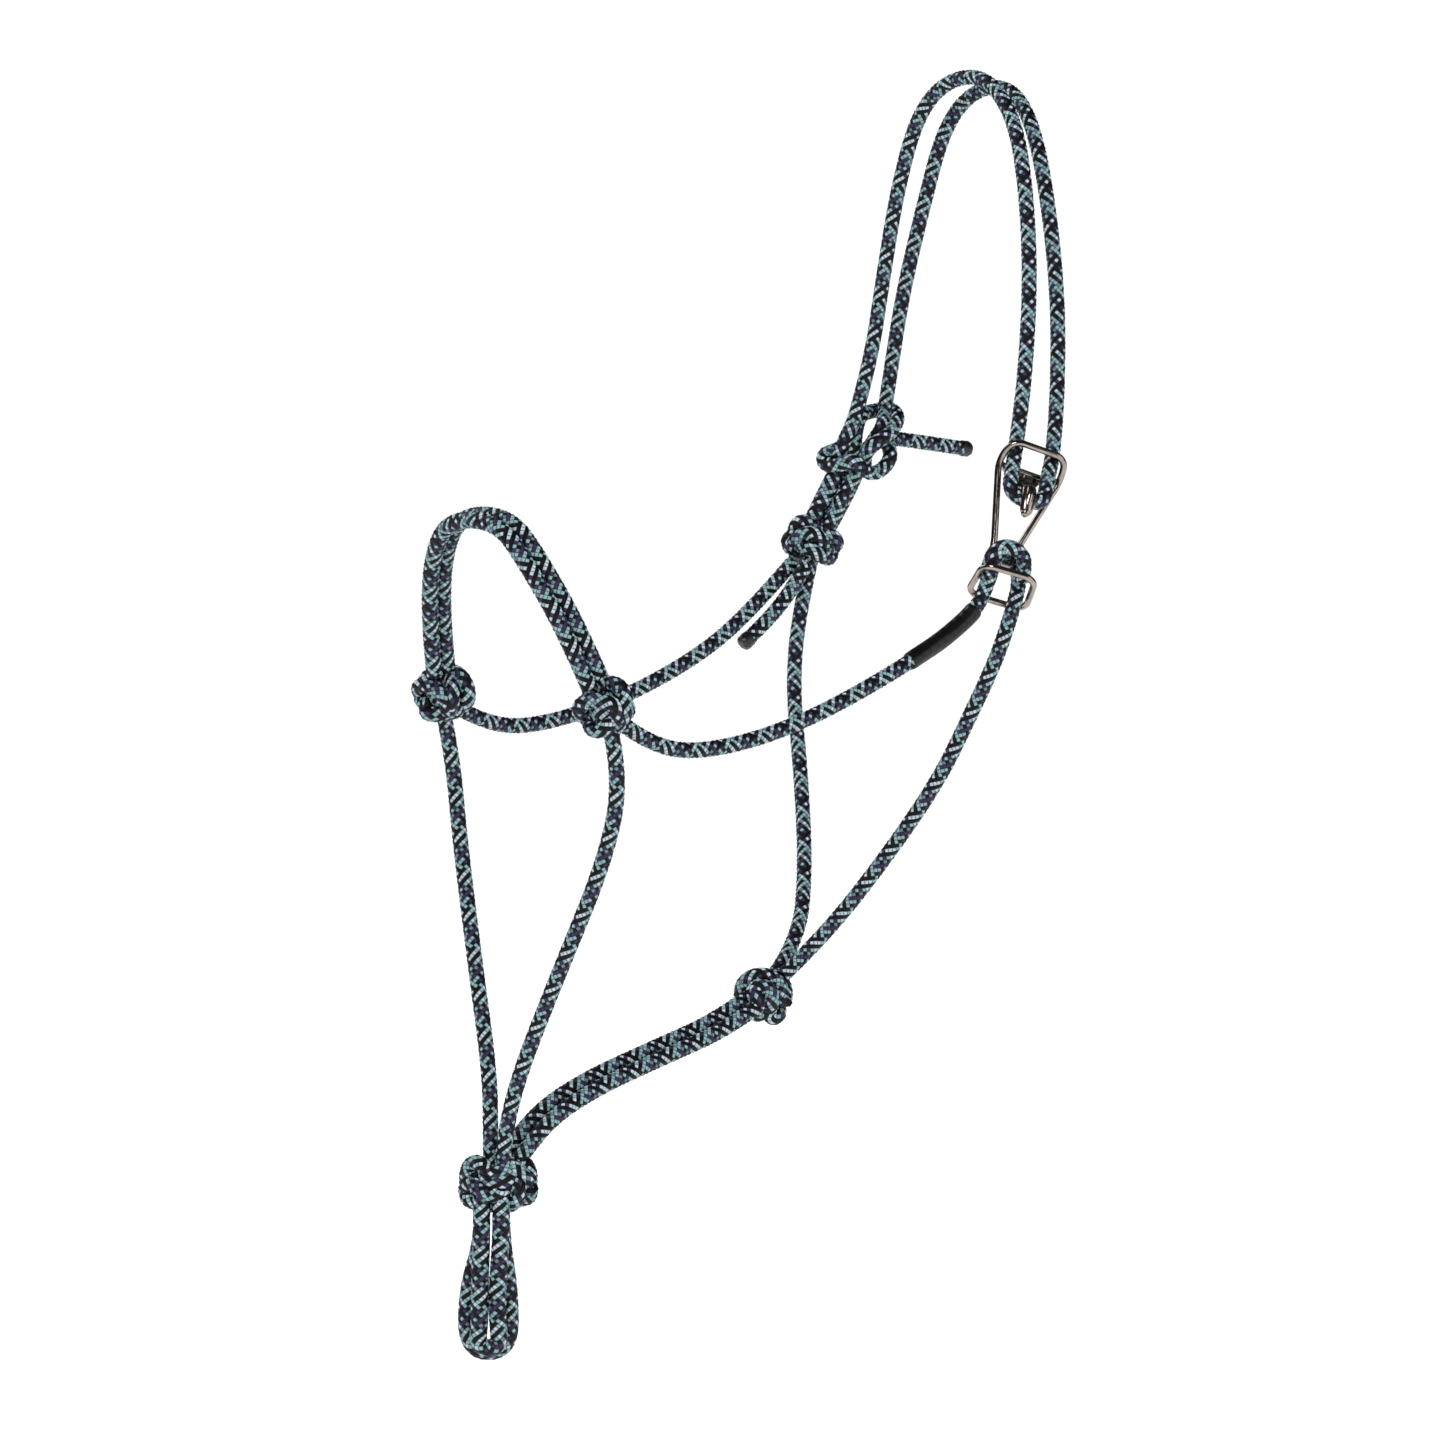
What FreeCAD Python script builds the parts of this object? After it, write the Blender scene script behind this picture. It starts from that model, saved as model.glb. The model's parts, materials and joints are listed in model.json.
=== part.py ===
import FreeCAD
import Part
import math
import os

# Rope halter as worn: +X is the horse's left, -Y is forward, +Z is up, millimetres.
# The origin is the poll, where the crown rope lies over the head.
V = FreeCAD.Vector

# Overall sizes: half the width between the two sides, poll to nose knots, poll to chin knot.
cheek_half = 68.0
nose_half = 58.0
nose_reach = 266.0
nose_drop = 275.0
chin_drop = 486.0

# Rope and metal stock.
rope_d = 7.0
wire_d = 3.1
finger_d = 3.9
sleeve_wall = 0.7
sleeve_len = 44.0
tip_len = 7.0
tip_round = 0.6

# Gaps: between strands that lie side by side, and between the chin knot and the lead loop.
strand_gap = 0.5
swing_gap = 2.0

# Crown hook, in its own plane: across, up from its foot, out from the head.
hook_top = 52.5
hook_bar_up = 42.5
hook_half = 15.6
hook_top_mid = 0.9
hook_foot_half = 5.6
hook_foot_mid = -0.7
hook_foot_low = -2.3
hook_lean_out = 6.5
hook_bar_in = 5.0
finger_out = 12.8
finger_up = 34.2
finger_tip = 20.5
web_thick = 2.2

# Keeper ring, half the width and depth of its opening.
keeper_half = 12.35
keeper_deep = 10.15

# Lead loop, half widths of the two bights and their drop below the chin knot.
loop_half = 10.0
loop_inner_half = 5.2
loop_drop = 67.5

rope_r = rope_d / 2
wire_r = wire_d / 2
strand_step = rope_d + strand_gap

near_nose = V(nose_half, -nose_reach, -nose_drop)
off_nose = V(-nose_half, -nose_reach, -nose_drop)
chin = V(0, -nose_reach - 13, -chin_drop)
throat = V(0, -nose_reach * 0.474, -chin_drop * 0.854)
off_cheek = V(-cheek_half, -nose_reach * 0.147, -nose_drop * 0.778)
foot = V(cheek_half - 2.4, -nose_reach * 0.148, -nose_drop * 0.792)
tie = V(-cheek_half + 8, -nose_reach * 0.06, -nose_drop * 0.614)
poll = V(0, 0, rope_r)
parts = {}


def turn_about(v, axis, degrees):
    return FreeCAD.Rotation(axis, degrees).multVec(v)


def lean_axes(turned, leaned, tilted):
    """The across, up and out directions of something hung on the near cheek."""
    out = turn_about(V(1, 0, 0), V(0, 0, 1), -turned)
    across = turn_about(V(0, 1, 0), V(0, 0, 1), -turned)
    up = turn_about(V(0, 0, 1), out, -leaned)
    across = turn_about(across, out, -leaned)
    up, out = turn_about(up, across, -tilted), turn_about(out, across, -tilted)
    return across, up, out


hook_across, hook_up, hook_out = lean_axes(25, 19, 10)


def at_hook(across, up, out):
    return foot + hook_across * across + hook_up * up + hook_out * out


def along(start, end, points):
    """Points as a share of the way from start to end, each moved aside by x, y, z."""
    return [start + (end - start) * t + V(x, y, z) for t, x, y, z in points]


def mirrored(points):
    return [V(-p.x, p.y, p.z) for p in points]


def cord_wire(points, name=""):
    """Straight runs joined by tangent arcs that take 0.45 of the shorter run."""
    edges = []
    last = points[0]
    radii = []
    for before, corner, after in zip(points, points[1:], points[2:]):
        back = before - corner
        on = after - corner
        cut = 0.45 * min(back.Length, on.Length)
        back.normalize()
        on.normalize()
        half_turn = (math.pi - back.getAngle(on)) / 2
        radius = cut / math.tan(half_turn)
        radii.append(round(radius, 1))
        start = corner + back * cut
        end = corner + on * cut
        inward = back + on
        inward.normalize()
        middle = corner + inward * (radius / math.cos(half_turn) - radius)
        edges.append(Part.LineSegment(last, start).toShape())
        edges.append(Part.Arc(start, middle, end).toShape())
        last = end
    edges.append(Part.LineSegment(last, points[-1]).toShape())
    if name:
        print(name, "bend radii", radii)
    return Part.Wire(edges)


def tube(points, diameter, name=""):
    wire = cord_wire(points, name)
    heading = points[1] - points[0]
    ring = Part.Wire(Part.Circle(points[0], heading, diameter / 2).toShape())
    solid = Part.Solid(wire.makePipeShell([ring], True, False).Shells[0])
    if solid.Volume < 0:
        solid.reverse()
    if name:
        share = solid.Volume / (math.pi * diameter ** 2 / 4 * wire.Length)
        print(name, "length", round(wire.Length, 1), "volume ratio", round(share, 4))
    return solid


def knot(centre, core, wraps):
    """A rounded core with a few turns of rope standing proud of it."""
    ball = Part.makeSphere(1)
    grow = FreeCAD.Matrix()
    grow.scale(core)
    body = ball.transformGeometry(grow)
    body.translate(centre)
    for shift, axis, radius in wraps:
        body = body.fuse(Part.makeTorus(radius, rope_r, centre + shift, axis))
    return body.removeSplitter()


def cut_away(solid, *tools):
    """The largest piece left of a solid when the tools are taken out of it."""
    left = solid.cut(Part.makeCompound(list(tools)))
    return max(left.Solids, key=lambda s: s.Volume)


def between_knots(name, points, *knots):
    parts[name] = cut_away(tube(points, rope_d, name), *knots)


def knots():
    r = rope_r
    side = 2.7 * r
    parts["near_nose_knot"] = knot(near_nose, V(9.4, 11.5, 11.5), [
        (V(1, 3, 1), V(1, 0.25, 0.1), side),
        (V(0, 0, -3), V(0.35, -0.35, 1), side),
        (V(-1, -3, 2), V(0.3, 1, 0.5), side - 0.6)])
    parts["off_nose_knot"] = knot(off_nose, V(9.4, 11.5, 10.5), [
        (V(-1, 3, 1), V(-1, 0.25, 0.1), side),
        (V(0, 0, -2.5), V(-0.35, -0.35, 1), side),
        (V(1, -3, 2), V(-0.3, 1, 0.5), side - 0.6)])
    parts["throat_knot"] = knot(throat, V(10.5, 11, 10.5), [
        (V(2, 0, 0), V(1, -0.5, 0), side),
        (V(-3, 0, 1), V(1, 0.2, 0.3), side - 0.4),
        (V(0, 2, -3), V(0.2, -0.5, 1), side - 0.6)])
    parts["chin_knot"] = knot(chin, V(14, 15.5, 10), [
        (V(0, -6.5, 1.5), V(0.5, -0.6, 0.8), side + 0.3),
        (V(0, 6.5, 2), V(-0.5, 0.5, 0.9), side + 0.3),
        (V(4.5, 0, -1), V(1, 0, 0.8), side - 1)])
    parts["off_cheek_knot"] = knot(off_cheek, V(9.4, 12, 10.5), [
        (V(1, 3.5, 0), V(0.4, 1, 0.5), side - 0.4),
        (V(1, -3.5, 0.5), V(0.4, -1, 0.6), side - 0.4),
        (V(0, 0, -2), V(0.9, 0, 0.5), side)])
    parts["tie_knot"] = knot(tie, V(8, 19, 12), [
        (V(0, 15, 6), V(1, 0.1, -0.15), side - 1.2),
        (V(1, -9, -2.5), V(0.5, 0.9, 0.25), side - 2),
        (V(0, 6, -6), V(1, 0.3, 0.2), side - 0.4)])


def noseband():
    """Two strands lie side by side over the nose, in a plane that leans forward."""
    step = V(0, 0.965, 0.262) * (strand_step / 2)
    top = V(0, -nose_reach - 23, -nose_drop + 83)
    near_half = along(near_nose, top, [
        (0.12, 4.5, 0, -1), (0.42, 15, -1.3, -1), (0.77, 20.5, -3, -0.5), (0.985, 16.5, -1, -1)])
    run = mirrored(near_half) + near_half[::-1]
    ends = (parts["near_nose_knot"], parts["off_nose_knot"])
    between_knots("noseband_back_strand", [p + step for p in run], *ends)
    between_knots("noseband_front_strand", [p - step for p in run], *ends)


def jaw_ropes():
    run = along(near_nose, chin, [
        (0.043, 4, 2, 0), (0.145, 10.5, 9, 0), (0.312, 12.5, 9, 0), (0.573, 4, 3, 0),
        (0.785, -2.6, -1, 0), (0.915, -0.2, -3, 0), (0.98, 3, -2.5, 0)])
    between_knots("near_jaw_rope", run, parts["near_nose_knot"], parts["chin_knot"])
    between_knots("off_jaw_rope", mirrored(run), parts["off_nose_knot"], parts["chin_knot"])


def off_side_ropes():
    run = along(off_nose, off_cheek, [
        (0.035, -1, 0, -8.5), (0.1, -1, 0, -20.5), (0.23, -1.5, 0, -33), (0.466, -0.5, 0, -37.3),
        (0.687, 0.7, 0, -31.8), (0.845, -1, -1.5, -21.2), (0.96, -2.5, -1.5, -8)])
    between_knots("off_cheek_rope", run, parts["off_nose_knot"], parts["off_cheek_knot"])
    run = along(off_cheek, throat, [
        (0.04, 0, 1, 0), (0.18, -10.5, 5.5, 0), (0.35, -20.3, 15.6, 0), (0.53, -16, 22, 0),
        (0.748, -7, 23.5, 0), (0.9, -0.5, 18, 0), (0.98, -2.5, 6, 1)])
    between_knots("off_throat_rope", run, parts["off_cheek_knot"], parts["throat_knot"])


def near_side_rope():
    """One rope: cheek, round the foot of the hook, and down to the throat knot."""
    cheek = along(near_nose, at_hook(-4.8, -11, 2.6), [
        (0.037, 1, 0, -9), (0.12, 1, 0, -25), (0.267, 0.6, 0, -35), (0.488, -0.2, 0, -37),
        (0.765, -1.6, 0, -28), (0.967, -1.4, -1.6, -16)])
    arch = [
        at_hook(-4.8, -11, 2.6), at_hook(-6.4, -1.5, 6.2), at_hook(-2.8, 4.4, 6.0),
        at_hook(1.3, 4.3, -6.0), at_hook(8.6, 1.2, -6.4), at_hook(11.3, -7.5, -2.5),
        at_hook(10.6, -21, 0)]
    down = along(at_hook(10.6, -21, 0), throat, [
        (0.13, 5.5, 5.6, 1.4), (0.29, 5.9, 12.6, 1.6), (0.47, 6.1, 19.9, 2), (0.7, 3.4, 20.5, 2.5),
        (0.885, 1.6, 16.5, 3.5), (0.975, 2, 5, 2)])
    run = cheek + arch + down
    between_knots("near_side_rope", run, parts["near_nose_knot"], parts["throat_knot"])
    heading = cheek[-1] - cheek[-2]
    heading.normalize()
    base = (cheek[-1] + cheek[-2]) * 0.5 - heading * (sleeve_len / 2 - 3)
    window = Part.makeCylinder(rope_d * 1.5, sleeve_len, base, heading)
    outer = tube(run[2:8], rope_d + sleeve_wall * 2).common(window)
    parts["label_sleeve"] = cut_away(outer, parts["near_side_rope"])


def curb_strands():
    """The pair under the jaw, one a little above the other."""
    run = along(throat, chin, [
        (0.05, 0, 0, -1), (0.17, 0, 0, -1.5), (0.42, 0, 0, 6.5), (0.69, 0, 0, 14.5),
        (0.87, 0, -1.5, 13.5), (0.97, 0, 0, 4.5)])
    lift = V(-0.88, -0.13, 0.45) * (strand_step / 2)
    ends = (parts["throat_knot"], parts["chin_knot"])
    between_knots("curb_upper_strand", [p + lift for p in run], *ends)
    between_knots("curb_lower_strand", [p - lift for p in run], *ends)


def lead_loop():
    """Two bights of rope below the chin knot, across the line of sight from the near side."""
    side = V(math.cos(math.radians(50)), math.sin(math.radians(50)), 0)
    apart = V(side.y, -side.x, 0) * (strand_step / 2)
    top = chin + V(0, -5, -10)
    neck = rope_r + 0.8
    outer = [
        (neck, -swing_gap - rope_r), (neck, -16), (loop_half - 1.8, -40),
        (loop_half - 1.8, -loop_drop), (-loop_half - 1.8, -loop_drop), (-loop_half - 1.8, -40),
        (-neck, -16), (-neck, -swing_gap - rope_r)]
    low = -loop_drop + rope_r
    leg = (strand_step + 0.2) / 2
    inner = [
        (neck, -swing_gap - rope_r), (neck, -15), (leg - 1.4, -36), (leg - 1.4, low + 12),
        (loop_inner_half - 1.4, low), (-loop_inner_half - 1.4, low),
        (-leg - 1.4, low + 12), (-leg - 1.4, -36), (-neck, -15),
        (-neck, -swing_gap - rope_r)]
    parts["lead_loop_outer"] = tube(
        [top + side * x - apart + V(0, 0, z) for x, z in outer], rope_d, "lead_loop_outer")
    parts["lead_loop_inner"] = tube(
        [top + side * x + apart + V(0, 0, z) for x, z in inner], rope_d, "lead_loop_inner")


def crown_rope():
    """One rope from the tie over the poll, round the hook's finger and back again."""
    front = along(tie, poll, [
        (0.07, -1.5, -7, 0), (0.23, -5, -4.5, 0), (0.46, -17.2, -2, 0), (0.69, -24.5, -2.5, 2),
        (0.87, -23.5, -3, 6.5), (0.985, -12, -2, 2)])
    front_down = along(poll, at_hook(-8.3, 54, -1.0), [
        (0.013, 13, -2.5, 2), (0.12, 29, -3, 0), (0.32, 29.5, -2, 1), (0.565, 20.5, 2, 0.5),
        (0.82, 8.5, 2.5, -0.5)])
    back = along(tie, poll, [
        (0.085, -6, 15, 0), (0.22, -12.5, 16, 0), (0.42, -20, 16, 0), (0.645, -24.5, 16.5, 0),
        (0.87, -26, 16, 1), (0.985, -12, 15, -2)])
    back_down = along(poll, at_hook(10.2, 54, -1.0), [
        (0.013, 12, 14, -2.5), (0.13, 24, 11, -1.5), (0.36, 23, 9.5, 0), (0.61, 14.5, 10, 0.5),
        (0.84, 4.5, 7, 0)])
    bight = [
        at_hook(-8.3, 54, -1.0), at_hook(-8.1, 42, 2.2), at_hook(-7.8, 27.8, 6.2),
        at_hook(9.6, 27.8, 6.4), at_hook(9.5, 42, 2.6), at_hook(10.2, 54, -1.0)]
    run = front + front_down + bight + back_down[::-1] + back[::-1]
    between_knots("crown_rope", run, parts["tie_knot"])


def tie_legs():
    """Two legs of the eye and the rope's own end run between the tie and the cheek knot."""
    line = tie - off_cheek
    line.normalize()
    wide = V(1, 0, 0).cross(line)
    wide.normalize()
    deep = line.cross(wide)
    spread = {"eye_front_leg": (-4.5, -1.8), "eye_back_leg": (4.5, -1.8), "crown_end_leg": (0, 4.4)}
    for name, (across, inward) in spread.items():
        shift = wide * -across + deep * inward + V(0, 1.5, 0)
        bow = wide * (-across * 0.35 - 0.8)
        run = [off_cheek + shift + line * 4, off_cheek + shift + bow + line * 24,
               tie + shift + line * -3]
        between_knots(name, run, parts["off_cheek_knot"], parts["tie_knot"])


def tail(name, run):
    """A free rope end with its melted black tip."""
    heading = run[-1] - run[-2]
    heading.normalize()
    whole = tube(run, rope_d, name)
    seat = run[-1] - heading * tip_len
    block = Part.makeCylinder(rope_d, tip_len * 2, seat, heading)
    parts[name] = cut_away(whole, block)
    cap = Part.makeCylinder(rope_r, tip_len, seat, heading)
    rim = max(cap.Edges, key=lambda e: e.CenterOfMass.dot(heading))
    parts[name + "_tip"] = cap.makeFillet(rope_r * tip_round, [rim])


def tails():
    tail("crown_tail", [
        tie + V(2, 28, 1.7), tie + V(2, 44, -0.3), tie + V(1, 73, -4)])
    tail("cheek_tail", [
        off_cheek + V(6.2, -14.5, -18.5), off_cheek + V(5, -28, -34),
        off_cheek + V(2.3, -48.6, -50)])


def crown_hook():
    """One casting: open frame, crossbar with a web, and the finger that takes the rope."""
    halves = []
    for s in (1, -1):
        halves.append(tube([
            at_hook(hook_foot_mid, hook_foot_low, 0),
            at_hook(hook_foot_mid + s * hook_foot_half, hook_foot_low, 0),
            at_hook(hook_foot_mid + s * hook_foot_half, hook_foot_low + 8, 0),
            at_hook(hook_top_mid + s * hook_half, hook_bar_up + 0.5, 0),
            at_hook(hook_top_mid + s * (hook_half - 2.3), hook_top, hook_lean_out),
            at_hook(hook_top_mid, hook_top, hook_lean_out)], wire_d))
    bar_half = hook_half - wire_r * 0.5
    bar = tube([
        at_hook(hook_top_mid - bar_half, hook_bar_up, 0),
        at_hook(hook_top_mid - bar_half + 3, hook_bar_up, -hook_bar_in),
        at_hook(hook_top_mid + bar_half - 3, hook_bar_up, -hook_bar_in),
        at_hook(hook_top_mid + bar_half, hook_bar_up, 0)], wire_d)
    outline = [(-11, 0.6), (11, 0.6), (11, -1.2), (1.8, -6.6), (-1.8, -6.6), (-11, -1.2), (-11, 0.6)]
    web = Part.Face(Part.makePolygon([
        at_hook(x, hook_bar_up + y, -hook_bar_in - web_thick / 2) for x, y in outline]))
    web = web.extrude(hook_out * web_thick)
    finger = tube([
        at_hook(0, hook_bar_up - 1, -hook_bar_in), at_hook(0, finger_up, -hook_bar_in),
        at_hook(0, finger_up, finger_out), at_hook(0, finger_tip, finger_out)], finger_d)
    end = Part.makeSphere(finger_d / 2, at_hook(0, finger_tip, finger_out))
    parts["crown_hook"] = halves[0].fuse([halves[1], bar, web, finger, end]).removeSplitter()


def keeper_ring():
    """Rounded wire ring round both legs, front side high and back side low."""
    centre = at_hook(2.9, -12.6, 0.9)
    across = turn_about(hook_across, hook_up, -11)
    front = turn_about(hook_up * 0.45 + hook_out * 0.89, hook_up, -11)

    def at_ring(x, y):
        return centre + across * x + front * y

    k = keeper_half + wire_r
    d = keeper_deep + wire_r
    halves = [tube([
        at_ring(0, d), at_ring(s * (k - 1.5), d), at_ring(s * k, -d), at_ring(0, -d)], wire_d)
        for s in (1, -1)]
    parts["keeper_ring"] = halves[0].fuse(halves[1]).removeSplitter()


knots()
noseband()
jaw_ropes()
off_side_ropes()
near_side_rope()
curb_strands()
lead_loop()
crown_rope()
tie_legs()
tails()
crown_hook()
keeper_ring()

os.makedirs("parts", exist_ok=True)
for name, shape in parts.items():
    solids = len(shape.Solids)
    print(name, "solids", solids, "valid", shape.isValid(), "volume", round(shape.Volume, 1))
    shape.exportStep("parts/" + name + ".step")
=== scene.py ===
import json
import math
import bpy
import numpy as np
from mathutils import Vector, Matrix

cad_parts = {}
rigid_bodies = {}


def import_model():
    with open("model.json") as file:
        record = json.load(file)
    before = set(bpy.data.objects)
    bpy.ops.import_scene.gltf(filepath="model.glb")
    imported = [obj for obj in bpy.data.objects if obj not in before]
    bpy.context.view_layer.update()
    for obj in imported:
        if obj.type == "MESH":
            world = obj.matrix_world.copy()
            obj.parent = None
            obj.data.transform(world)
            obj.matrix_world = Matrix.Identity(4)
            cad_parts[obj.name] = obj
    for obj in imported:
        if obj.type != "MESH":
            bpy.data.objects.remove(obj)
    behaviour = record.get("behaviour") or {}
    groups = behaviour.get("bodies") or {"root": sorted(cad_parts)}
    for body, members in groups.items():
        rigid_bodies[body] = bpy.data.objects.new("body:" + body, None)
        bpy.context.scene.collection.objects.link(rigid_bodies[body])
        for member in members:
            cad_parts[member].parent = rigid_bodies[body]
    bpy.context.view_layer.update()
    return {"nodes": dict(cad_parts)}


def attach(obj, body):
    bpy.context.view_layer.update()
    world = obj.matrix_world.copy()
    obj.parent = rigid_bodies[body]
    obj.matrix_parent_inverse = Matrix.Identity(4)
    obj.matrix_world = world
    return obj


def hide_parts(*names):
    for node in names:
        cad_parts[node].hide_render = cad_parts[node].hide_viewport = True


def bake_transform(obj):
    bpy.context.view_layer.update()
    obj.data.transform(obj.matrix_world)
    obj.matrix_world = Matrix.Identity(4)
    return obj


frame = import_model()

mm = 0.001

# sizes of the rope and the halter, millimetres
rope = {"thick": 7.0, "lay": 18.5, "endsPerWay": 8, "cells": 3, "relief": 0.33}
halter = {"cheekHalf": 68.0, "noseHalf": 58.0, "noseReach": 266.0, "noseDrop": 275.0, "chinDrop": 486.0,
          "strandStep": 7.5}
nearNose = Vector((halter["noseHalf"], -halter["noseReach"], -halter["noseDrop"]))
offNose = Vector((-halter["noseHalf"], -halter["noseReach"], -halter["noseDrop"]))
chin = Vector((0, -halter["noseReach"] - 13, -halter["chinDrop"]))
throat = Vector((0, -halter["noseReach"] * 0.474, -halter["chinDrop"] * 0.854))
offCheek = Vector((-halter["cheekHalf"], -halter["noseReach"] * 0.147, -halter["noseDrop"] * 0.778))
foot = Vector((halter["cheekHalf"] - 2.4, -halter["noseReach"] * 0.148, -halter["noseDrop"] * 0.792))
tie = Vector((-halter["cheekHalf"] + 8, -halter["noseReach"] * 0.06, -halter["noseDrop"] * 0.614))
poll = Vector((0, 0, 3.5))


def turned(v, axis, degrees):
    return Matrix.Rotation(math.radians(degrees), 3, axis) @ v


def leanAxes(turn, lean, tilt):
    # across, up and out directions of the hook as it hangs on the near cheek
    out = turned(Vector((1, 0, 0)), Vector((0, 0, 1)), -turn)
    across = turned(Vector((0, 1, 0)), Vector((0, 0, 1)), -turn)
    up = turned(Vector((0, 0, 1)), out, -lean)
    across = turned(across, out, -lean)
    return across, turned(up, across, -tilt), turned(out, across, -tilt)


hookAcross, hookUp, hookOut = leanAxes(25, 19, 10)


def atHook(across, up, out):
    return foot + hookAcross * across + hookUp * up + hookOut * out


def along(start, end, points):
    # points as a share of the way from start to end, each moved aside by x, y, z
    return [start + (end - start) * t + Vector((x, y, z)) for t, x, y, z in points]


def mirrored(points):
    return [Vector((-p.x, p.y, p.z)) for p in points]


# ---- camera, first of all
camera = {"aim": (11.2, -160.8, -289.6), "back": (0.7637, -0.6408, 0.0785), "away": 2500.0, "frame": 650.25}
back = Vector(camera["back"]).normalized()
cameraData = bpy.data.cameras.new("camera")
cameraData.sensor_width = 36
cameraData.lens = 36 * camera["away"] / camera["frame"]
cameraData.clip_start = 0.05
cameraData.clip_end = 60
cameraObject = bpy.data.objects.new("camera", cameraData)
bpy.context.collection.objects.link(cameraObject)
cameraObject.location = (Vector(camera["aim"]) + back * camera["away"]) * mm
cameraObject.rotation_euler = back.to_track_quat("Z", "Y").to_euler()
bpy.context.scene.camera = cameraObject
viewRight = Vector((0, 0, 1)).cross(back).normalized()
viewUp = back.cross(viewRight)


# ---- small helpers
def deselectAll():
    if bpy.context.mode != "OBJECT":
        bpy.ops.object.mode_set(mode="OBJECT")
    for o in bpy.context.view_layer.objects:
        o.select_set(False)


def makeActive(piece):
    deselectAll()
    piece.select_set(True)
    bpy.context.view_layer.objects.active = piece


# ---- materials
def linear(r, g, b):
    # screen colour 0 to 255 as linear light
    def one(c):
        c = c / 255
        return c / 12.92 if c <= 0.04045 else ((c + 0.055) / 1.055) ** 2.4
    return (one(r), one(g), one(b), 1.0)


class Nodes:
    # short names for adding shader nodes one after another
    def __init__(self, name):
        self.material = bpy.data.materials.new(name)
        self.material.use_nodes = True
        self.tree = self.material.node_tree
        self.shader = self.tree.nodes["Principled BSDF"]

    def add(self, kind, **settings):
        node = self.tree.nodes.new(kind)
        for key, value in settings.items():
            setattr(node, key, value)
        return node

    def put(self, socket, value):
        if isinstance(value, bpy.types.NodeSocket):
            self.tree.links.new(value, socket)
        else:
            socket.default_value = value

    def math(self, operation, *values):
        node = self.add("ShaderNodeMath", operation=operation)
        for socket, value in zip(node.inputs, values):
            self.put(socket, value)
        return node.outputs[0]

    def blend(self, amount, first, second, kind="MIX"):
        node = self.add("ShaderNodeMix", data_type="RGBA", blend_type=kind)
        self.put(node.inputs[0], amount)
        self.put(node.inputs[6], first)
        self.put(node.inputs[7], second)
        return node.outputs[2]

    def pick(self, amount, first, second):
        node = self.add("ShaderNodeMix", data_type="FLOAT")
        self.put(node.inputs[0], amount)
        self.put(node.inputs[2], first)
        self.put(node.inputs[3], second)
        return node.outputs[0]

    def smooth(self, value, low, high, start=0.0, end=1.0):
        node = self.add("ShaderNodeMapRange", interpolation_type="SMOOTHSTEP")
        for socket, v in zip(node.inputs, (value, low, high, start, end)):
            self.put(socket, v)
        return node.outputs[0]

    def bump(self, height, distance, strength=1.0, under=None):
        node = self.add("ShaderNodeBump")
        node.inputs["Strength"].default_value = strength
        node.inputs["Distance"].default_value = distance
        self.put(node.inputs["Height"], height)
        if under:
            self.put(node.inputs["Normal"], under)
        return node.outputs["Normal"]


yarn = {
    "ice": linear(170, 184, 194), "aqua": linear(124, 158, 162), "black": linear(6, 7, 9),
    "plum": linear(48, 38, 72), "mist": linear(96, 112, 120)}
# yarn colours of the ends that run each way round
oneWay = ["aqua", "black", "ice", "black", "plum", "black", "plum", "aqua"]
otherWay = ["black", "aqua", "plum", "mist", "aqua", "black", "ice", "black"]


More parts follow.
